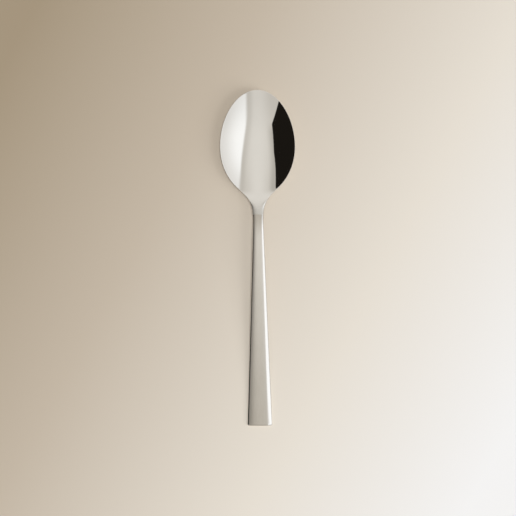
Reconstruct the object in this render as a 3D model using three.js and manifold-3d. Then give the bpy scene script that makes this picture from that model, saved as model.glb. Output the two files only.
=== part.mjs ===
// A tablespoon on a table: a polished bowl whose neck ends in a tang, and a domed handle brazed over it.
// Millimetres. X runs across the spoon, +Y from the handle to the tip of the bowl, +Z up from the table.

import * as THREE from "three";
import { mergeVertices } from "three/addons/utils/BufferGeometryUtils.js";
import Module from "manifold-3d";

// Plan of the bowl
const BOWL_WIDTH = 44.6;
const TIP_TO_WIDEST = 33.5;
const WIDEST_TO_SHOULDER = 25.2;
const WIDEST_TO_JOINT = 40.5;
const SHOULDER_WIDTH = 23.2; // where the outline turns from round to hollow
const SHOULDER_ANGLE = 47; // degrees between the outline and the spoon's axis there

// How far the outline holds its line before it bends, measured across the spoon at the shoulder
const TIP_REACH = 12.3;
const WIDEST_REACH = 17.4;
const SHOULDER_REACH_OUT = 2.2;
const SHOULDER_REACH_IN = 5;

// Plan of the handle
const HANDLE_LENGTH = 126; // from the joint to the square end
const JOINT_TO_NECK = 3.2; // from the joint to the narrowest place
const NECK_WIDTH = 6.1;
const END_WIDTH = 15;

// Depths and thicknesses
const BOWL_DEPTH = 9;
const BELLY_WALL = 2;
const RIM_RADIUS = 0.36; // the rim is a full round
const EDGE_RADIUS = 0.55; // of the handle's edges
const NECK_THICKNESS = 3.6;
const THICKENING_LENGTH = 27; // before the joint, over which the rim grows to the neck's thickness
const DOMED_NECK = 4.5; // the last of the neck before the joint, domed like the handle
const END_THICKNESS = 4;
const RIM_LEAN = 38; // degrees that the bowl's wall leans outwards at the rim
const NECK_FACE_LEAN = 26; // degrees that the handle's domed face falls away at its edges
const END_FACE_LEAN = 21.5;

// Side profile
const TIP_LIFT = 1; // the tip of the rim stands this much above the widest place
const JOINT_TO_CREST = 14; // from the joint to the highest place of the handle
const CREST_CLEARANCE = 10.4; // the table to the underside there
const RESTING_CUT = 0.15; // ground off the belly and the heel, so that both rest flat

// Brazed joint
const TANG_LENGTH = 12;
const TANG_ROOT = 4; // how far the tang reaches back into the neck
const SOCKET_SIDE_WALL = 1.5;
const SOCKET_FACE_WALL = 0.85;
const BRAZE_GAP = 0.1; // between tang and socket, on every side

// Fineness of the surface
const TIP_STEPS = 14;
const SIDE_STEPS = 12;
const NECK_STEPS = 14;
const HANDLE_STEPS = 18;
const ACROSS_STEPS = 16;
const ROUND_STEPS = 3;
const WELD = 1e-4;

const { degToRad, lerp, smoothstep } = THREE.MathUtils;

// Places along the spoon, with its middle at the origin
const length = TIP_TO_WIDEST + WIDEST_TO_JOINT + HANDLE_LENGTH;
const tipY = length / 2;
const widestY = tipY - TIP_TO_WIDEST;
const shoulderY = widestY - WIDEST_TO_SHOULDER;
const jointY = widestY - WIDEST_TO_JOINT;
const neckY = jointY - JOINT_TO_NECK;
const crestY = jointY - JOINT_TO_CREST;
const endY = -length / 2;

const rimLean = degToRad(RIM_LEAN);

// Radii across the bowl's inside and outside, from its depth and its wall at the widest place
const rimToHollow = RIM_RADIUS * (1 + Math.sin(rimLean));
const rimToBelly = RIM_RADIUS * (1 - Math.sin(rimLean));
const hollowSag = BOWL_DEPTH - RIM_RADIUS * (1 - Math.cos(rimLean));
const bellySag = BOWL_DEPTH + BELLY_WALL - RIM_RADIUS * (1 + Math.cos(rimLean));
const hollowRadius = (BOWL_WIDTH / 2 - rimToHollow) ** 2 / (2 * hollowSag);
const bellyRadius = (BOWL_WIDTH / 2 - rimToBelly) ** 2 / (2 * bellySag);

// The handle's straight taper, and how high its domed face rises over its edges
const downHandle = (y) => Math.max(0, (jointY - y) / HANDLE_LENGTH);
const handleHalfWidth = (y) => lerp(NECK_WIDTH, END_WIDTH, (neckY - y) / (neckY - endY)) / 2;
const faceLean = (y) => degToRad(lerp(NECK_FACE_LEAN, END_FACE_LEAN, downHandle(y)));
const faceRise = (halfWidth, y) => (halfWidth * Math.tan(faceLean(y))) / 2;

// 0 in the bowl and 1 on the handle, for the form of the section and for its thickness
const handleForm = (y) => smoothstep(shoulderY - y, 0, shoulderY - jointY - DOMED_NECK);
const thickening = (y) => smoothstep(jointY + THICKENING_LENGTH - y, 0, THICKENING_LENGTH);

// The upright part of the edge: none on the rim, and on the handle what its thickness leaves
function sideHeight(halfWidth, y) {
  const thickness = lerp(NECK_THICKNESS, END_THICKNESS, downHandle(y));
  const lean = faceLean(y);
  const faceHalfWidth = halfWidth - EDGE_RADIUS * (1 - Math.sin(lean));
  return thickness - EDGE_RADIUS * (1 + Math.cos(lean)) - faceRise(faceHalfWidth, y);
}

const neckSide = sideHeight(NECK_WIDTH / 2, jointY);
const rimCentre = BOWL_DEPTH + BELLY_WALL - RIM_RADIUS - RESTING_CUT;
const crestCentre = CREST_CLEARANCE + EDGE_RADIUS + sideHeight(handleHalfWidth(crestY), crestY);
const endCentre = EDGE_RADIUS + sideHeight(END_WIDTH / 2, endY) - RESTING_CUT;

// Height of the rounded edge's centre, along the rim and then along the handle
function edgeHeight(y) {
  if (y > widestY) {
    return rimCentre + TIP_LIFT * ((y - widestY) / TIP_TO_WIDEST) ** 2;
  }
  if (y > crestY) {
    return lerp(rimCentre, crestCentre, smoothstep(widestY - y, 0, widestY - crestY));
  }
  return lerp(endCentre, crestCentre, smoothstep(y - endY, 0, crestY - endY));
}

// Half of the bowl's outline, from the tip to the narrowest place of the neck.
// The curves on both sides of the shoulder set out along one line, so the outline bends evenly there.
function bowlOutline() {
  const at = (x, y) => new THREE.Vector2(x, y);
  const side = BOWL_WIDTH / 2;
  const shoulder = SHOULDER_WIDTH / 2;
  const neck = NECK_WIDTH / 2;
  const onShoulderLine = (x) => at(x, shoulderY + (x - shoulder) / Math.tan(degToRad(SHOULDER_ANGLE)));
  const tipCurve = new THREE.CubicBezierCurve(
    at(0, tipY),
    at(TIP_REACH, tipY),
    at(side, widestY + WIDEST_REACH),
    at(side, widestY),
  );
  const sideCurve = new THREE.CubicBezierCurve(
    at(side, widestY),
    onShoulderLine(side),
    onShoulderLine(shoulder + SHOULDER_REACH_OUT),
    onShoulderLine(shoulder),
  );
  const neckCurve = new THREE.CubicBezierCurve(
    onShoulderLine(shoulder),
    onShoulderLine(shoulder - SHOULDER_REACH_IN),
    onShoulderLine(neck),
    at(neck, neckY),
  );
  return [
    { curve: tipCurve, steps: TIP_STEPS },
    { curve: sideCurve, steps: SIDE_STEPS },
    { curve: neckCurve, steps: NECK_STEPS },
  ];
}

// Stations along the outline's right half: a point, the way out of it, and how far the section is drawn in
function stations() {
  const list = [];
  for (const { curve, steps } of bowlOutline()) {
    for (let step = list.length ? 1 : 0; step <= steps; step += 1) {
      const point = curve.getPoint(step / steps);
      const along = curve.getTangent(step / steps);
      list.push({ point, outward: new THREE.Vector2(-along.y, along.x), inset: 0 });
    }
  }
  const sideways = new THREE.Vector2(1, 0);
  for (let step = 1; step <= HANDLE_STEPS; step += 1) {
    const y = lerp(neckY, endY + EDGE_RADIUS, step / HANDLE_STEPS);
    list.push({ point: new THREE.Vector2(handleHalfWidth(y), y), outward: sideways, inset: 0 });
  }
  for (let step = 1; step <= ROUND_STEPS; step += 1) {
    const turn = ((Math.PI / 2) * step) / ROUND_STEPS;
    const y = endY + EDGE_RADIUS * (1 - Math.sin(turn));
    const inset = EDGE_RADIUS * (1 - Math.cos(turn));
    list.push({ point: new THREE.Vector2(handleHalfWidth(y), y), outward: sideways, inset });
  }
  return list;
}

// Closed ring of points at a station: face from left to right, right edge, underside, left edge
function ring({ point, outward, inset }) {
  const form = handleForm(point.y);
  const fullRadius = lerp(RIM_RADIUS, EDGE_RADIUS, form);
  const radius = fullRadius - inset;
  const side = point.y > jointY ? thickening(point.y) * neckSide : sideHeight(point.x, point.y);
  const faceTurn = lerp(-rimLean, faceLean(point.y), form);
  const underTurn = lerp(Math.PI - rimLean, Math.PI, form);
  const centre = point.clone().addScaledVector(outward, -fullRadius);
  const height = edgeHeight(point.y);

  // A point of the rounded edge, which near the tip never crosses the spoon's axis
  const edgePoint = (turn, z) => {
    const plan = centre.clone().addScaledVector(outward, radius * Math.sin(turn));
    return new THREE.Vector3(Math.max(0, plan.x), plan.y, z + radius * Math.cos(turn));
  };
  const rightEdge = [];
  for (let step = 0; step <= ROUND_STEPS; step += 1) {
    rightEdge.push(edgePoint(lerp(faceTurn, Math.PI / 2, step / ROUND_STEPS), height));
  }
  for (let step = 0; step <= ROUND_STEPS; step += 1) {
    rightEdge.push(edgePoint(lerp(Math.PI / 2, underTurn, step / ROUND_STEPS), height - side));
  }
  const mirrored = ({ x, y, z }) => new THREE.Vector3(-x, y, z);
  const across = (corner, sag, share) => {
    const s = lerp(-1, 1, share);
    return new THREE.Vector3(corner.x * s, corner.y, corner.z + sag * (1 - s * s));
  };
  const faceCorner = rightEdge[0];
  const underCorner = rightEdge[rightEdge.length - 1];
  const faceSag = lerp(-(faceCorner.x ** 2) / (2 * hollowRadius), faceRise(faceCorner.x, point.y), form);
  const underSag = lerp(-(underCorner.x ** 2) / (2 * bellyRadius), 0, form);
  const points = [];
  for (let step = 0; step < ACROSS_STEPS; step += 1) {
    points.push(across(faceCorner, faceSag, step / ACROSS_STEPS));
  }
  points.push(...rightEdge);
  for (let step = ACROSS_STEPS - 1; step >= 0; step -= 1) {
    points.push(across(underCorner, underSag, step / ACROSS_STEPS));
  }
  points.push(...rightEdge.slice(1, -1).reverse().map(mirrored));
  return points;
}

// The whole spoon as one skin over its rings. The ring at the tip folds shut, and the square end gets a cap.
function spoonGeometry() {
  const rings = stations().map(ring);
  const size = rings[0].length;
  const index = [];
  for (let row = 0; row + 1 < rings.length; row += 1) {
    for (let column = 0; column < size; column += 1) {
      const here = row * size + column;
      const beside = row * size + ((column + 1) % size);
      index.push(here, here + size, beside);
      index.push(beside, here + size, beside + size);
    }
  }
  const face = (rings.length - 1) * size;
  const under = face + 2 * ACROSS_STEPS + 2 * ROUND_STEPS + 1;
  for (let step = 0; step < ACROSS_STEPS; step += 1) {
    index.push(face + step, under - step, face + step + 1);
    index.push(face + step + 1, under - step, under - step - 1);
  }
  const geometry = new THREE.BufferGeometry().setFromPoints(rings.flat());
  geometry.setIndex(index);
  return geometry;
}

// A box from one corner to the other
function boxGeometry(low, high) {
  const span = high.map((value, axis) => value - low[axis]);
  const middle = high.map((value, axis) => (value + low[axis]) / 2);
  return new THREE.BoxGeometry(...span).translate(...middle);
}

const wasm = await Module();
wasm.setup();

// Closed mesh to solid: shared vertices are merged, and triangles that closed up are dropped
function solidOf(geometry) {
  const bare = new THREE.BufferGeometry();
  bare.setAttribute("position", geometry.getAttribute("position"));
  bare.setIndex(geometry.getIndex());
  const merged = mergeVertices(bare, WELD);
  const corners = merged.getIndex().array;
  const triangles = [];
  for (let at = 0; at < corners.length; at += 3) {
    const [a, b, c] = corners.slice(at, at + 3);
    if (a !== b && b !== c && c !== a) {
      triangles.push(a, b, c);
    }
  }
  const mesh = new wasm.Mesh({
    numProp: 3,
    vertProperties: merged.getAttribute("position").array,
    triVerts: new Uint32Array(triangles),
  });
  return new wasm.Manifold(mesh);
}

function meshOf(name, solid, material) {
  const { vertProperties, triVerts } = solid.getMesh();
  const geometry = new THREE.BufferGeometry();
  geometry.setAttribute("position", new THREE.BufferAttribute(vertProperties, 3));
  geometry.setIndex(new THREE.BufferAttribute(triVerts, 1));
  geometry.computeVertexNormals();
  const mesh = new THREE.Mesh(geometry, material);
  mesh.name = name;
  return mesh;
}

// The whole spoon, ground flat where it rests, then parted at the joint
const beyond = 2 * length;
const table = solidOf(boxGeometry([-beyond, -beyond, -beyond], [beyond, beyond, 0]));
const bowlSide = solidOf(boxGeometry([-beyond, jointY, -beyond], [beyond, beyond, beyond]));
const handleSide = solidOf(boxGeometry([-beyond, -beyond, -beyond], [beyond, jointY, beyond]));
const spoon = solidOf(spoonGeometry()).subtract(table);

// The tang lies in the middle of the neck's thickness, and the socket clears it on every side
const tangHalfWidth = NECK_WIDTH / 2 - SOCKET_SIDE_WALL - BRAZE_GAP;
const tangHalfThickness = NECK_THICKNESS / 2 - SOCKET_FACE_WALL - BRAZE_GAP;
const tangZ = edgeHeight(jointY - TANG_LENGTH / 2) - neckSide - EDGE_RADIUS + NECK_THICKNESS / 2;
const tangBox = (gap) =>
  solidOf(
    boxGeometry(
      [-tangHalfWidth - gap, jointY - TANG_LENGTH - gap, tangZ - tangHalfThickness - gap],
      [tangHalfWidth + gap, jointY + TANG_ROOT, tangZ + tangHalfThickness + gap],
    ),
  );
const tang = tangBox(0);
const socket = tangBox(BRAZE_GAP);

const mirrorSteel = new THREE.MeshStandardMaterial({ color: 0xdcd8d0, roughness: 0.06, metalness: 1 });
const satinSteel = new THREE.MeshStandardMaterial({ color: 0xc4bcb0, roughness: 0.22, metalness: 1 });

const tablespoon = new THREE.Group();
tablespoon.name = "tablespoon";
tablespoon.add(meshOf("bowl", spoon.intersect(bowlSide).add(tang), mirrorSteel));
tablespoon.add(meshOf("handle", spoon.intersect(handleSide).subtract(socket), satinSteel));

export default tablespoon;
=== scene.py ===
# A steel tablespoon lying on a pale table, seen from straight above.
# Metres. X runs across the spoon, +Y from the handle to the tip of the bowl, +Z up from the table.

import math

import bpy
import numpy as np
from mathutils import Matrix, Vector


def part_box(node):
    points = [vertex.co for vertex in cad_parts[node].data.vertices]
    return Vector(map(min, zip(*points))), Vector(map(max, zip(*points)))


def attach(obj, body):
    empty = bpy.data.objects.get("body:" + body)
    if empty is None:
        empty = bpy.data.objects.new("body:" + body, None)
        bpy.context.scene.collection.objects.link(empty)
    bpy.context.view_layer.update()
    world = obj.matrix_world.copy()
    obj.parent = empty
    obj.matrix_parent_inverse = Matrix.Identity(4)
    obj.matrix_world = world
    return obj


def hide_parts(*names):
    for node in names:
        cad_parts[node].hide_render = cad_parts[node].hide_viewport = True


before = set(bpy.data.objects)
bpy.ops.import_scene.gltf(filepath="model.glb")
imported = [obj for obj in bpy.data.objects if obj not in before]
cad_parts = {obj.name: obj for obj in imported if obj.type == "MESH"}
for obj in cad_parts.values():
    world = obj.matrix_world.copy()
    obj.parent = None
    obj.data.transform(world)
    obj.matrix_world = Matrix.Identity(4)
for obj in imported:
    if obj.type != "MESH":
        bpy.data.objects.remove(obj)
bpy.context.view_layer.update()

MM = 0.001

# Places and widths that the CAD model gives
_, bowl_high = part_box("bowl")
handle_low, handle_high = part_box("handle")
TIP_Y = bowl_high.y
JOINT_Y = handle_high.y
END_Y = handle_low.y
BOWL_HALF = bowl_high.x

# Plan of the bowl, the neck and the handle
WIDEST_Y = TIP_Y - 33.5 * MM
SHOULDER_Y = WIDEST_Y - 25.2 * MM
NECK_Y = JOINT_Y - 3.2 * MM
CREST_Y = JOINT_Y - 14 * MM
SHOULDER_HALF = 11.6 * MM
SHOULDER_ANGLE = math.radians(47)
NECK_HALF = 3.05 * MM
END_HALF = 7.5 * MM
TIP_REACH = 12.3 * MM
WIDEST_REACH = 17.4 * MM
SHOULDER_REACH_OUT = 2.2 * MM
SHOULDER_REACH_IN = 5 * MM

# Depths, thicknesses and heights over the table
BOWL_DEPTH = 9 * MM
BELLY_WALL = 2 * MM
RIM_RADIUS = 0.36 * MM
EDGE_RADIUS = 0.55 * MM
NECK_THICKNESS = 3.6 * MM
END_THICKNESS = 4 * MM
THICKENING_LENGTH = 27 * MM
TIP_LIFT = 1 * MM
CREST_CLEARANCE = 10.4 * MM
RESTING_CUT = 0.15 * MM

# Slopes of the faces and the sides, and the lengths over which they change
RIM_LEAN = math.radians(38)
JOINT_FACE_LEAN = math.radians(21)
NECK_FACE_LEAN = math.radians(26)
END_FACE_LEAN = math.radians(21.5)
FLATTER_LENGTH = 14 * MM
DOMED_NECK = 4.5 * MM
NECK_DRAFT = 0.15 * MM
DRAFT_BEGINS = 6 * MM
DRAFT_ENDS = 2 * MM

# Brazed joint: a tang on the bowl's neck in a socket of the handle
TANG_LENGTH = 12 * MM
TANG_ROOT = 4 * MM
TANG_HALF_WIDTH = 1.45 * MM
TANG_HALF_THICKNESS = 0.85 * MM
TANG_BEVEL = 0.2 * MM
BRAZE_GAP = 0.1 * MM

# Rounded edges: their widths, the lengths over which these change, and the room beside them
RIM_BEVEL = 0.28 * MM
NECK_BEVEL = 0.3 * MM
EDGE_BEVEL = 0.46 * MM
END_BEVEL = 0.9 * MM
JOINT_BEVEL = 0.03 * MM
NECK_BEVEL_LENGTH = 8 * MM
END_BEVEL_LENGTH = 0.2 * MM
EDGE_ROOM = 0.9 * MM

# Fineness of the sheets and of the rounded edges
OUTLINE_STEPS = 240
BOWL_COLUMNS = 22
BOWL_ROWS = 46
HANDLE_COLUMNS = 14
HANDLE_ROWS = 64
EDGE_SEGMENTS = 3
FINE_SEGMENTS = 2
SHARP_ANGLE = math.radians(40)
SMOOTH_ANGLE = math.radians(35)
NEARLY = 1e-6
CUT_PRECISION = 1e-8

# The bowl's sheet ends in the arc round the tip, which begins where the outline faces this much sideways
ARC_BEGINS = 0.75


def lerp(start, end, share):
    return start + (end - start) * share


def smoothstep(value, low, high):
    share = min(1, max(0, (value - low) / (high - low)))
    return share * share * (3 - 2 * share)


# Form of the spoon


def bezier(points, share):
    """Point and direction of a cubic curve."""
    a, b, c, d = points
    rest = 1 - share
    point = a * rest**3 + 3 * b * rest * rest * share + 3 * c * rest * share * share + d * share**3
    slope = (b - a) * rest * rest + 2 * (c - b) * rest * share + (d - c) * share * share
    return point, slope.normalized()


def down_taper(y):
    """0 where the handle is narrowest and 1 at its square end."""
    return (NECK_Y - y) / (NECK_Y - END_Y)


def handle_half_width(y):
    return lerp(NECK_HALF, END_HALF, down_taper(y))


def outline():
    """Right half of the spoon's plan from the tip to the square end: points, and the way out of each."""

    def on_shoulder_line(x):
        return Vector((x, SHOULDER_Y + (x - SHOULDER_HALF) / math.tan(SHOULDER_ANGLE)))

    widest = Vector((BOWL_HALF, WIDEST_Y))
    tip_curve = (
        Vector((0, TIP_Y)),
        Vector((TIP_REACH, TIP_Y)),
        Vector((BOWL_HALF, WIDEST_Y + WIDEST_REACH)),
        widest,
    )
    side_curve = (
        widest,
        on_shoulder_line(BOWL_HALF),
        on_shoulder_line(SHOULDER_HALF + SHOULDER_REACH_OUT),
        on_shoulder_line(SHOULDER_HALF),
    )
    neck_curve = (
        on_shoulder_line(SHOULDER_HALF),
        on_shoulder_line(SHOULDER_HALF - SHOULDER_REACH_IN),
        on_shoulder_line(NECK_HALF),
        Vector((NECK_HALF, NECK_Y)),
    )
    places = []
    for curve in (tip_curve, side_curve, neck_curve):
        for step in range(1 if places else 0, OUTLINE_STEPS + 1):
            point, along = bezier(curve, step / OUTLINE_STEPS)
            places.append((point, Vector((-along.y, along.x))))
    for step in range(1, OUTLINE_STEPS + 1):
        y = lerp(NECK_Y, END_Y, step / OUTLINE_STEPS)
        places.append((Vector((handle_half_width(y), y)), Vector((1, 0))))
    return places


def handle_form(y):
    """0 in the bowl and 1 on the handle."""
    return smoothstep(SHOULDER_Y - y, 0, SHOULDER_Y - JOINT_Y - DOMED_NECK)


def down_handle(y):
    """0 at the joint and in the bowl, and 1 at the handle's square end."""
    return max(0, (JOINT_Y - y) / (JOINT_Y - END_Y))


def thickness(y):
    return lerp(NECK_THICKNESS, END_THICKNESS, down_handle(y))


def edge_radius(y):
    return lerp(RIM_RADIUS, EDGE_RADIUS, handle_form(y))


def face_lean(y):
    """How far the handle's domed face falls away at its edges: less beside the joint."""
    lean = lerp(NECK_FACE_LEAN, END_FACE_LEAN, down_handle(y))
    return lerp(JOINT_FACE_LEAN, lean, smoothstep(JOINT_Y - y, 0, FLATTER_LENGTH))


def side_height(half_width, y):
    """The upright part of the edge: none on the rim, and on the handle what its thickness leaves."""
    lean = face_lean(y)
    if y > JOINT_Y:
        half_width = NECK_HALF
    face_half_width = half_width - EDGE_RADIUS * (1 - math.sin(lean))
    rise = face_half_width * math.tan(lean) / 2
    full = thickness(y) - EDGE_RADIUS * (1 + math.cos(lean)) - rise
    return full * smoothstep(JOINT_Y + THICKENING_LENGTH - y, 0, THICKENING_LENGTH)


RIM_CENTRE = BOWL_DEPTH + BELLY_WALL - RIM_RADIUS - RESTING_CUT
CREST_CENTRE = CREST_CLEARANCE + EDGE_RADIUS + side_height(handle_half_width(CREST_Y), CREST_Y)
END_CENTRE = EDGE_RADIUS + side_height(END_HALF, END_Y) - RESTING_CUT


def edge_height(y):
    """Height of the rounded edge's centre, along the rim and then along the handle."""
    if y > WIDEST_Y:
        return RIM_CENTRE + TIP_LIFT * ((y - WIDEST_Y) / (TIP_Y - WIDEST_Y)) ** 2
    if y > CREST_Y:
        return lerp(RIM_CENTRE, CREST_CENTRE, smoothstep(WIDEST_Y - y, 0, WIDEST_Y - CREST_Y))
    return lerp(END_CENTRE, CREST_CENTRE, smoothstep(y - END_Y, 0, CREST_Y - END_Y))


def draft(y):
    """How far the sides of the neck slope inwards from the bottom to the top."""
    below_shoulder = smoothstep(SHOULDER_Y - y, 0, DRAFT_BEGINS)
    above_joint = smoothstep(y - JOINT_Y, 0, DRAFT_ENDS)
    return NECK_DRAFT * below_shoulder * above_joint


def bowl_bevel(y):
    """Width of the bowl's rounded edges: fine on the rim, and a little fuller at the joint."""
    return lerp(RIM_BEVEL, NECK_BEVEL, smoothstep(SHOULDER_Y - y, 0, SHOULDER_Y - JOINT_Y))


def handle_bevel(y):
    """Width of the handle's rounded edges: fine at the joint, and fullest at the square end."""
    if y < END_Y + END_BEVEL_LENGTH:
        return END_BEVEL
    return lerp(NECK_BEVEL, EDGE_BEVEL, smoothstep(JOINT_Y - y, 0, NECK_BEVEL_LENGTH))


def sharp_corner(point, outward, height, turn_in, turn_out):
    """Where two faces would meet before the edge between them is rounded."""
    radius = edge_radius(point.y)
    reach = radius / math.cos((turn_out - turn_in) / 2)
    turn = (turn_in + turn_out) / 2
    plan = point + outward * (reach * math.sin(turn) - radius)
    return Vector((plan.x, plan.y, height + reach * math.cos(turn)))


def corners(point, outward):
    """Upper and lower corner of the edge at one place of the outline."""
    form = handle_form(point.y)
    height = edge_height(point.y)
    face_turn = lerp(-RIM_LEAN, face_lean(point.y), form)
    under_turn = lerp(math.pi - RIM_LEAN, math.pi, form)
    side = side_height(point.x, point.y)
    upper = sharp_corner(point - outward * draft(point.y), outward, height, face_turn, math.pi / 2)
    lower = sharp_corner(point, outward, height - side, math.pi / 2, under_turn)
    return upper, lower


PLACES = outline()
CORNERS = [corners(point, outward) for point, outward in PLACES]
UPPER = np.array([upper for upper, _ in CORNERS])
LOWER = np.array([lower for _, lower in CORNERS])

# Distance along the outline from the tip, for the joint and for the place where the tip's arc begins
STEPS = np.linalg.norm(np.diff([point for point, _ in PLACES], axis=0), axis=1)
DISTANCE = np.concatenate([[0], np.cumsum(STEPS)])
JOINT_DISTANCE = float(np.interp(-JOINT_Y, [-point.y for point, _ in PLACES], DISTANCE))
TIP_FACING = [outward.x for _, outward in PLACES[:OUTLINE_STEPS]]
ARC_DISTANCE = float(np.interp(ARC_BEGINS, TIP_FACING, DISTANCE[:OUTLINE_STEPS]))


def edge_sags():
    """How much each unit of half width squared lifts the hollow and the belly over their middles."""
    widest = OUTLINE_STEPS
    rim_top = RIM_CENTRE + RIM_RADIUS
    hollow = UPPER[widest][2] - (rim_top - BOWL_DEPTH)
    belly = LOWER[widest][2] - (rim_top - BOWL_DEPTH - BELLY_WALL)
    return hollow / UPPER[widest][0] ** 2, belly / LOWER[widest][0] ** 2


HOLLOW_SAG, BELLY_SAG = edge_sags()


def edge_at(edge, y):
    """Half width squared and height of an edge's corner line at a place along the spoon."""
    half_squared = float(np.interp(-y, -edge[:, 1], edge[:, 0] ** 2))
    return half_squared, float(np.interp(-y, -edge[:, 1], edge[:, 2]))


def face_height(x, y):
    half_squared, height = edge_at(UPPER, y)
    form = handle_form(y)
    bend = -HOLLOW_SAG
    if form > 0:
        underside = edge_height(y) - side_height(math.sqrt(half_squared), y) - EDGE_RADIUS
        bend = lerp(-HOLLOW_SAG, (underside + thickness(y) - height) / half_squared, form)
    return height + bend * (half_squared - x * x)


def under_height(x, y):
    half_squared, height = edge_at(LOWER, y)
    return height - lerp(BELLY_SAG, 0, handle_form(y)) * (half_squared - x * x)


def on_edge(edge, distance):
    """Point of an edge's corner line in plan, left of the tip where the distance is negative."""
    x = float(np.interp(abs(distance), DISTANCE, edge[:, 0]))
    y = float(np.interp(abs(distance), DISTANCE, edge[:, 1]))
    return Vector((math.copysign(x, distance), y))


def clear_of_edge(across, half_width, columns):
    """Draws the inner columns in where the rounded edge needs room beside the last one."""
    last = 1 - 2 / columns
    if abs(across) > last + NEARLY:
        return across
    return across * min(1, (1 - EDGE_ROOM / half_width) / last)


def bowl_plan(edge, across, along):
    """Sheet from the joint to the tip: its sides follow the outline, its last row the tip's arc."""
    side = on_edge(edge, lerp(JOINT_DISTANCE, ARC_DISTANCE, along))
    arc = on_edge(edge, ARC_DISTANCE * across)
    arc_end = on_edge(edge, ARC_DISTANCE)
    x = clear_of_edge(across, side.x, BOWL_COLUMNS) * side.x + along * (arc.x - across * arc_end.x)
    return x, side.y + along * (arc.y - arc_end.y)


def handle_plan(edge, across, along):
    """Sheet from the square end to the joint."""
    y = lerp(END_Y, JOINT_Y, along)
    half_squared, _ = edge_at(edge, y)
    half_width = math.sqrt(half_squared)
    return clear_of_edge(across, half_width, HANDLE_COLUMNS) * half_width, y


# Modelling


def edit(piece, select_mode):
    """Edit mode on one piece with nothing selected."""
    bpy.ops.object.mode_set(mode="OBJECT")
    bpy.ops.object.select_all(action="DESELECT")
    piece.select_set(True)
    bpy.context.view_layer.objects.active = piece
    bpy.ops.object.mode_set(mode="EDIT")
    bpy.ops.mesh.select_mode(type=select_mode)
    bpy.ops.mesh.select_all(action="DESELECT")


def apply(piece, kind, **settings):
    """Adds a modifier and applies it."""
    bpy.context.view_layer.objects.active = piece
    bpy.ops.object.modifier_add(type=kind)
    modifier = piece.modifiers[-1]
    for name, value in settings.items():
        setattr(modifier, name, value)
    bpy.ops.object.modifier_apply(modifier=modifier.name)


def on_joint(mesh, element):
    return all(abs(mesh.vertices[corner].co.y - JOINT_Y) < NEARLY for corner in element.vertices)


def pressed_sheet(columns, rows, plan, edge, height):
    """A flat grid laid into the plan and pressed to its height."""
    bpy.ops.object.select_all(action="DESELECT")
    bpy.ops.mesh.primitive_grid_add(x_subdivisions=columns, y_subdivisions=rows, size=2)
    blank = bpy.context.object
    for vertex in blank.data.vertices:
        x, y = plan(edge, vertex.co.x, (vertex.co.y + 1) / 2)
        vertex.co = (x, y, height(x, y))
    return blank


def round_edges(piece, width):
    """Rounds the sharp edges, apart from those in the joint's plane: width gives how much at a place."""
    edit(piece, "EDGE")
    bpy.ops.mesh.edges_select_sharp(sharpness=SHARP_ANGLE)
    bpy.ops.object.mode_set(mode="OBJECT")
    mesh = piece.data
    weights = mesh.attributes.new("bevel_weight_edge", "FLOAT", "EDGE")
    for edge in mesh.edges:
        if edge.select and not on_joint(mesh, edge):
            middle = sum((mesh.vertices[corner].co for corner in edge.vertices), Vector()) / 2
            weights.data[edge.index].value = width(middle.y) / END_BEVEL
    apply(
        piece,
        "BEVEL",
        limit_method="WEIGHT",
        width=END_BEVEL,
        segments=EDGE_SEGMENTS,
        use_clamp_overlap=False,
    )


def ease_joint(piece):
    """Breaks the edge round the joint's face, which leaves a hairline seam."""
    edit(piece, "FACE")
    bpy.ops.object.mode_set(mode="OBJECT")
    for polygon in piece.data.polygons:
        polygon.select = on_joint(piece.data, polygon)
    bpy.ops.object.mode_set(mode="EDIT")
    bpy.ops.mesh.region_to_loop()
    bpy.ops.mesh.bevel(offset=JOINT_BEVEL, segments=FINE_SEGMENTS, affect="EDGES")
    bpy.ops.object.mode_set(mode="OBJECT")


def spoon_half(name, columns, rows, plan, width):
    """One closed piece: face and underside bridged, edges rounded, and ground flat on the table."""
    face = pressed_sheet(columns, rows, plan, UPPER, face_height)
    under = pressed_sheet(columns, rows, plan, LOWER, under_height)
    edit(under, "FACE")
    bpy.ops.mesh.select_all(action="SELECT")
    bpy.ops.mesh.flip_normals()
    bpy.ops.object.mode_set(mode="OBJECT")
    face.select_set(True)
    bpy.context.view_layer.objects.active = face
    bpy.ops.object.join()
    face.name = name
    face.data.name = name

    edit(face, "EDGE")
    bpy.ops.mesh.select_non_manifold()
    bpy.ops.mesh.bridge_edge_loops()
    bpy.ops.mesh.select_all(action="SELECT")
    bpy.ops.mesh.normals_make_consistent(inside=False)
    round_edges(face, width)
    ease_joint(face)
    apply(face, "SUBSURF", levels=2, render_levels=2)

    edit(face, "FACE")
    bpy.ops.mesh.select_all(action="SELECT")
    bpy.ops.mesh.bisect(
        plane_co=(0, 0, 0),
        plane_no=(0, 0, 1),
        clear_inner=True,
        use_fill=True,
        threshold=CUT_PRECISION,
    )
    bpy.ops.object.mode_set(mode="OBJECT")
    return face


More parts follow.
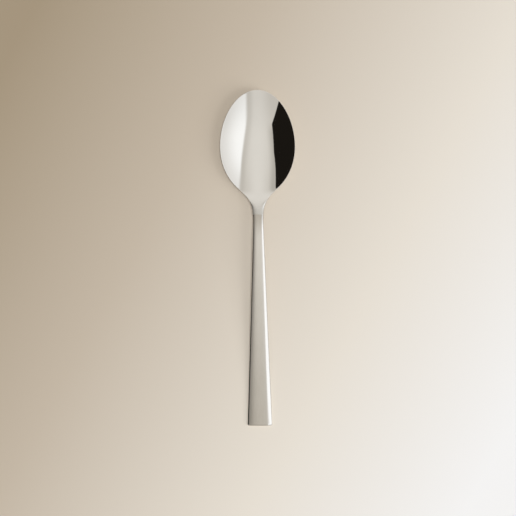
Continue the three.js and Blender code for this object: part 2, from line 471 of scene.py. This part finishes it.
def tang_block(gap):
    """The tang, or with the braze gap round it the hole that takes it."""
    middle = JOINT_Y - TANG_LENGTH / 2
    under = edge_height(middle) - side_height(NECK_HALF, JOINT_Y) - EDGE_RADIUS
    low = JOINT_Y - TANG_LENGTH - gap
    high = JOINT_Y + TANG_ROOT
    bpy.ops.object.select_all(action="DESELECT")
    bpy.ops.mesh.primitive_cube_add(size=1, location=(0, (low + high) / 2, under + NECK_THICKNESS / 2))
    block = bpy.context.object
    block.scale = (2 * (TANG_HALF_WIDTH + gap), high - low, 2 * (TANG_HALF_THICKNESS + gap))
    bpy.ops.object.transform_apply(location=True, rotation=True, scale=True)
    edit(block, "EDGE")
    bpy.ops.mesh.select_all(action="SELECT")
    bpy.ops.mesh.bevel(offset=TANG_BEVEL, segments=FINE_SEGMENTS, affect="EDGES")
    bpy.ops.object.mode_set(mode="OBJECT")
    return block


def join_block(piece, operation, gap):
    """Adds the tang to a piece, or takes the socket out of it."""
    block = tang_block(gap)
    bpy.ops.object.select_all(action="DESELECT")
    piece.select_set(True)
    apply(piece, "BOOLEAN", object=block, operation=operation, solver="EXACT")
    bpy.data.objects.remove(block)


# Materials

# Colours of the polished bowl, which is duller by the joint
BOWL_STEEL = (0.80, 0.782, 0.75, 1)
SMEARED_STEEL = (0.77, 0.755, 0.725, 1)
DULL_STEEL = (0.66, 0.645, 0.61, 1)
DULL_LENGTH = 10 * MM
POLISHING_WAVES = 0.01 * MM
HAIRLINE_RANGE = (0.5, 0.75)

# Colours of the handle: its brushed face, and its polished edges with their upright sides.
# The ranges are shares of the half width, where the satin fades out and where the sides begin
BRUSHED_LIGHT = (0.825, 0.80, 0.753, 1)
BRUSHED_DARK = (0.535, 0.50, 0.443, 1)
POLISHED_EDGE = (0.84, 0.825, 0.80, 1)
UPRIGHT_SIDE = (0.66, 0.64, 0.605, 1)
# Painted shade: the polished edges' colour beside the joint, which dims their reflection there
EDGE_PAINTED_SHADE = (0.60, 0.58, 0.55, 1)
# Painted shade: the lengths over which the face and the polished edges darken towards the joint
FACE_PAINTED_SHADE_LENGTH = 15 * MM
EDGE_PAINTED_SHADE_LENGTH = 9 * MM
BRUSH_MARKS = 0.003 * MM
SATIN_RIGHT_RANGE = (0.6, 0.7)
SATIN_LEFT_RANGE = (0.82, 0.92)
SIDE_RANGE = (0.98, 0.992)


class Socket:
    """An output of a node, with arithmetic that adds Math nodes."""

    def __init__(self, shader, output):
        self.shader = shader
        self.output = output

    def math(self, operation, first, second):
        return self.shader.node("ShaderNodeMath", {"operation": operation}, {0: first, 1: second})

    def __add__(self, other):
        return self.math("ADD", self, other)

    def __radd__(self, other):
        return self.math("ADD", other, self)

    def __sub__(self, other):
        return self.math("SUBTRACT", self, other)

    def __rsub__(self, other):
        return self.math("SUBTRACT", other, self)

    def __mul__(self, other):
        return self.math("MULTIPLY", self, other)

    def __rmul__(self, other):
        return self.math("MULTIPLY", other, self)

    def __truediv__(self, other):
        return self.math("DIVIDE", self, other)

    def __abs__(self):
        return self.math("ABSOLUTE", self, 0)


class Shader:
    """The node tree of one material, or of the world."""

    def __init__(self, owner):
        owner.use_nodes = True
        self.tree = owner.node_tree
        self.tree.nodes.clear()

    def node(self, kind, settings=None, inputs=None, output=0):
        """Adds a node: its settings first, then the values or links of its sockets."""
        node = self.tree.nodes.new(kind)
        for name, value in (settings or {}).items():
            if name == "stops":
                while len(node.color_ramp.elements) < len(value):
                    node.color_ramp.elements.new(1)
                for element, (position, colour) in zip(node.color_ramp.elements, value):
                    element.position = position
                    element.color = (*colour, 1)
            else:
                setattr(node, name, value)
        for name, value in (inputs or {}).items():
            if isinstance(value, Socket):
                self.tree.links.new(value.output, node.inputs[name])
            else:
                node.inputs[name].default_value = value
        return Socket(self, node.outputs[output]) if node.outputs else None

    def ease(self, value, low, high):
        """0 below low and 1 above high, smooth between."""
        settings = {"interpolation_type": "SMOOTHSTEP"}
        inputs = {"Value": value, "From Min": low, "From Max": high}
        return self.node("ShaderNodeMapRange", settings, inputs)

    def between(self, factor, first, second):
        """Mixes two colours."""
        inputs = {"Factor": factor, 6: first, 7: second}
        return self.node("ShaderNodeMix", {"data_type": "RGBA"}, inputs, 2)

    def parts(self, vector):
        """The three parts of a vector."""
        split = self.node("ShaderNodeSeparateXYZ", {}, {0: vector})
        return [Socket(self, output) for output in split.output.node.outputs]

    def object_place(self):
        return self.node("ShaderNodeTexCoord", {}, {}, "Object")

    def noise(self, place, stretch, detail, roughness=0.5):
        """Noise from 0 to 1 with so many cells a metre along each axis."""
        spread = self.node("ShaderNodeMapping", {}, {"Vector": place, "Scale": stretch})
        inputs = {"Vector": spread, "Scale": 1, "Detail": detail, "Roughness": roughness}
        return self.node("ShaderNodeTexNoise", {}, inputs)


def finish_steel(shader, colour, roughness, height, depth):
    """Bare metal with a fine relief."""
    normal = shader.node("ShaderNodeBump", {}, {"Strength": 1, "Distance": depth, "Height": height})
    inputs = {"Base Color": colour, "Metallic": 1, "Roughness": roughness, "Normal": normal}
    metal = shader.node("ShaderNodeBsdfPrincipled", {}, inputs)
    shader.node("ShaderNodeOutputMaterial", {}, {"Surface": metal})


def mirror_steel():
    """Polished bowl: slow waves from the polishing wheel, hairlines from use, duller by the joint."""
    material = bpy.data.materials.new("mirror_steel")
    shader = Shader(material)
    place = shader.object_place()
    _, y, _ = shader.parts(place)
    slow = shader.noise(place, (70, 50, 70), 1)
    hairline = shader.noise(place, (2600, 160, 900), 3)
    smear = shader.noise(place, (90, 60, 90), 3, 0.6)
    by_joint = 1 - shader.ease(y, JOINT_Y, JOINT_Y + DULL_LENGTH)
    colour = shader.between(smear, BOWL_STEEL, SMEARED_STEEL)
    colour = shader.between(by_joint, colour, DULL_STEEL)
    scratched = shader.ease(hairline, *HAIRLINE_RANGE)
    roughness = 0.03 + 0.035 * scratched + 0.02 * smear + 0.4 * by_joint
    finish_steel(shader, colour, roughness, slow, POLISHING_WAVES)
    return material


def satin_steel():
    """Handle: its face brushed lengthwise to a satin, and its edges polished. The face is darker beside
    the joint and towards the square end, and the edges beside the joint: painted shade, which leaves a
    painted highlight over the crest.
    """
    material = bpy.data.materials.new("satin_steel")
    shader = Shader(material)
    place = shader.object_place()
    x, y, _ = shader.parts(place)
    down = down_taper(y)
    across = x / handle_half_width(y)
    right_edge = shader.ease(across, *SATIN_RIGHT_RANGE)
    left_edge = shader.ease(0 - across, *SATIN_LEFT_RANGE)
    satin = 1 - right_edge - left_edge
    side = shader.ease(abs(across), *SIDE_RANGE)
    brushing = shader.noise(place, (5200, 90, 2000), 4, 0.65)
    smear = shader.noise(place, (70, 45, 70), 3, 0.6)
    # Painted shade beside the joint, on the face and on the polished edges
    face_painted_shade = shader.ease(y, JOINT_Y - FACE_PAINTED_SHADE_LENGTH, JOINT_Y)
    edge_painted_shade = shader.ease(y, JOINT_Y - EDGE_PAINTED_SHADE_LENGTH, JOINT_Y)
    # Random tone from smear and brushing, with painted shade towards the square end and beside the
    # joint, so the face is lightest over the crest as a painted highlight
    shade = 0.2 * smear + 0.5 * (brushing - 0.35) + 0.65 * down + 0.75 * face_painted_shade
    brushed = shader.between(shade, BRUSHED_LIGHT, BRUSHED_DARK)
    polished = shader.between(side, POLISHED_EDGE, UPRIGHT_SIDE)
    # Painted shade: the polished edges darken beside the joint
    polished = shader.between(edge_painted_shade, polished, EDGE_PAINTED_SHADE)
    colour = shader.between(satin, polished, brushed)
    roughness = 0.10 + 0.03 * smear + 0.08 * side + satin * (0.17 + 0.08 * brushing + 0.08 * down)
    finish_steel(shader, colour, roughness, brushing * satin, BRUSH_MARKS)
    return material


def dress(piece, material, node):
    piece.data.materials.clear()
    piece.data.materials.append(material)
    bpy.ops.object.select_all(action="DESELECT")
    piece.select_set(True)
    bpy.context.view_layer.objects.active = piece
    bpy.ops.object.shade_smooth_by_angle(angle=SMOOTH_ANGLE)
    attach(piece, "root")
    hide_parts(node)


bowl = spoon_half("spoon_bowl", BOWL_COLUMNS, BOWL_ROWS, bowl_plan, bowl_bevel)
join_block(bowl, "UNION", 0)
dress(bowl, mirror_steel(), "bowl")

handle = spoon_half("spoon_handle", HANDLE_COLUMNS, HANDLE_ROWS, handle_plan, handle_bevel)
join_block(handle, "DIFFERENCE", BRAZE_GAP)
dress(handle, satin_steel(), "handle")


# Table: its colour runs along a slanted ramp of painted light and shade, and levels off far from the
# spoon

TABLE_SIZE = 16
# Painted light and shade: the stops run from shaded beige at the far left to nearly white at the near
# right
TABLE_PAINTED_LIGHT_STOPS = (
    (0.03, (0.377, 0.303, 0.212)),
    (0.33, (0.556, 0.478, 0.384)),
    (0.67, (0.80, 0.744, 0.66)),
    (0.95, (0.915, 0.908, 0.90)),
)
RAMP_PER_METRE_X = 2.17
RAMP_PER_METRE_Y = -1.2
LEVEL_BEGINS = 0.24
LEVEL_FROM = 0.6
LEVEL_COLOUR = (0.76, 0.72, 0.66, 1)


def table_top():
    """Matt table with painted light and shade, from beige at the far left to nearly white at the near
    right.
    """
    material = bpy.data.materials.new("table_top")
    shader = Shader(material)
    x, y, _ = shader.parts(shader.object_place())
    ramp = 0.5 + x * RAMP_PER_METRE_X + y * RAMP_PER_METRE_Y
    colour = shader.node("ShaderNodeValToRGB", {"stops": TABLE_PAINTED_LIGHT_STOPS}, {0: ramp})
    far = shader.node("ShaderNodeMath", {"operation": "SQRT"}, {0: x * x + y * y})
    colour = shader.between(shader.ease(far, LEVEL_BEGINS, LEVEL_FROM), colour, LEVEL_COLOUR)
    inputs = {"Base Color": colour, "Roughness": 0.9, "Specular IOR Level": 0}
    paint = shader.node("ShaderNodeBsdfPrincipled", {}, inputs)
    shader.node("ShaderNodeOutputMaterial", {}, {"Surface": paint})
    return material


bpy.ops.object.select_all(action="DESELECT")
bpy.ops.mesh.primitive_plane_add(size=TABLE_SIZE)
table = bpy.context.object
table.name = "table"
table.data.materials.append(table_top())


# Light: a studio that the steel mirrors, a plain light for the rest, and three lamps

CEILING = (0.87, 0.845, 0.80, 1)
CEILING_SIDES = (0.74, 0.71, 0.66, 1)
WALL_SHADE = (0.3, 0.28, 0.25, 1)
WHITE_WALL_FOOT = (0.90, 0.89, 0.87, 1)
WHITE_WALL_TOP = (1.2, 1.215, 1.225, 1)
DARK_WALL = (0.012, 0.010, 0.008, 1)
NEAR_WALL = (0.4, 0.38, 0.35, 1)
SKIRTING = (0.05, 0.045, 0.04, 1)
PLAIN_LIGHT = (0.15, 0.1475, 0.145, 1)
BACKDROP = (0.9, 0.88, 0.85, 1)
LEAST_RISE = 0.02

# How strong the shades are, and the ranges over which the colours change
DARK_WALL_SHADE = 0.42
WHITE_WALL_SHADE = 0.18
NEAR_WALL_SHARE = 0.18
CEILING_RANGE = (0.05, 0.95)
WHITE_WALL_RANGE = (0.15, 0.75)
NEAR_WALL_RANGE = (0.1, 1.3)
SKIRTING_RANGE = (0.12, 0.26)

# Straight borders of the walls in the ceiling's plane, one a line:
# its shares of across and along, and where its soft edge begins and ends
WHITE_WALL_BORDERS = (
    (1, -0.31, 0.62, 0.79),
    (1, 0.155, 0.33, 0.58),
    (1, -0.505, 0.30, 0.64),
)
WHITE_WALL_SHADE_BORDERS = (
    (1, -0.31, 0.25, 0.6),
    (1, 0.155, -0.05, 0.3),
)
DARK_WALL_BORDERS = (
    (-1.108, 1, 0.288, 0.333),
    (-1, -0.1, 0.79, 0.83),
    (-1, -0.34, 0.73, 0.765),
)
DARK_WALL_SHADE_BORDERS = (
    (-1, -0.15, 0.4, 0.86),
    (0, 1, -0.6, -0.25),
)


def studio():
    """White wall to the right, dark wall to the left, and a ceiling that is darker beside both."""
    world = bpy.data.worlds.new("studio")
    bpy.context.scene.world = world
    shader = Shader(world)
    direction = shader.node("ShaderNodeTexCoord", {}, {}, "Generated")
    x, y, z = shader.parts(direction)
    rise = shader.node("ShaderNodeMath", {"operation": "MAXIMUM"}, {0: z, 1: LEAST_RISE})
    across = x / rise
    along = y / rise

    def within(borders):
        """1 on the inner side of every border and 0 outside."""
        sides = []
        for by_across, by_along, begins, ends in borders:
            sides.append(shader.ease(across * by_across + along * by_along, begins, ends))
        return math.prod(sides)

    room = shader.between(shader.ease(abs(across), *CEILING_RANGE), CEILING, CEILING_SIDES)
    room = shader.between(within(DARK_WALL_SHADE_BORDERS) * DARK_WALL_SHADE, room, WALL_SHADE)
    room = shader.between(within(WHITE_WALL_SHADE_BORDERS) * WHITE_WALL_SHADE, room, WALL_SHADE)
    white_wall = shader.between(shader.ease(z, *WHITE_WALL_RANGE), WHITE_WALL_FOOT, WHITE_WALL_TOP)
    room = shader.between(within(WHITE_WALL_BORDERS), room, white_wall)
    near_side = shader.ease(0 - along, *NEAR_WALL_RANGE)
    room = shader.between(near_side * NEAR_WALL_SHARE, room, NEAR_WALL)
    room = shader.between(within(DARK_WALL_BORDERS), room, DARK_WALL)
    room = shader.between(shader.ease(z, *SKIRTING_RANGE), SKIRTING, room)

    paths = shader.node("ShaderNodeLightPath").output.node.outputs
    reflected = Socket(shader, paths["Is Glossy Ray"])
    seen = Socket(shader, paths["Is Camera Ray"])
    colour = shader.between(reflected, PLAIN_LIGHT, room)
    colour = shader.between(seen, colour, BACKDROP)
    light = shader.node("ShaderNodeBackground", {}, {"Color": colour, "Strength": 1})
    shader.node("ShaderNodeOutputWorld", {}, {"Surface": light})


def lamp(name, towards, energy, spread):
    """A distant soft lamp, spread over so many degrees, that lights without showing up in the steel."""
    bpy.ops.object.light_add(type="SUN")
    light = bpy.context.object
    light.name = name
    light.data.energy = energy
    light.data.angle = math.radians(spread)
    light.visible_glossy = False
    light.rotation_euler = Vector(towards).to_track_quat("Z", "Y").to_euler()


# Camera: straight above and turned a little, with the frame's width measured a little under the rim

CAMERA_X = -0.3 * MM
CAMERA_Y = 0.28 * MM
CAMERA_HEIGHT = 1.2
FRAMED_HEIGHT = 8 * MM
FRAMED_WIDTH = 307 * MM
CAMERA_TURN = math.radians(-0.47)
SENSOR_WIDTH = 36


def camera():
    bpy.ops.object.camera_add(location=(CAMERA_X, CAMERA_Y, CAMERA_HEIGHT))
    eye = bpy.context.object
    eye.data.sensor_width = SENSOR_WIDTH
    eye.data.lens = SENSOR_WIDTH * (CAMERA_HEIGHT - FRAMED_HEIGHT) / FRAMED_WIDTH
    eye.rotation_euler = (0, 0, CAMERA_TURN)
    bpy.context.scene.camera = eye


studio()
lamp("top_light", (0.03, -0.03, 1), energy=1.967, spread=8)
lamp("key_light", (0.46, -0.24, 1), energy=0.46, spread=20)
lamp("side_light", (0.97, -0.45, 1), energy=0.41, spread=30)
camera()
bpy.context.scene.view_settings.view_transform = "Standard"
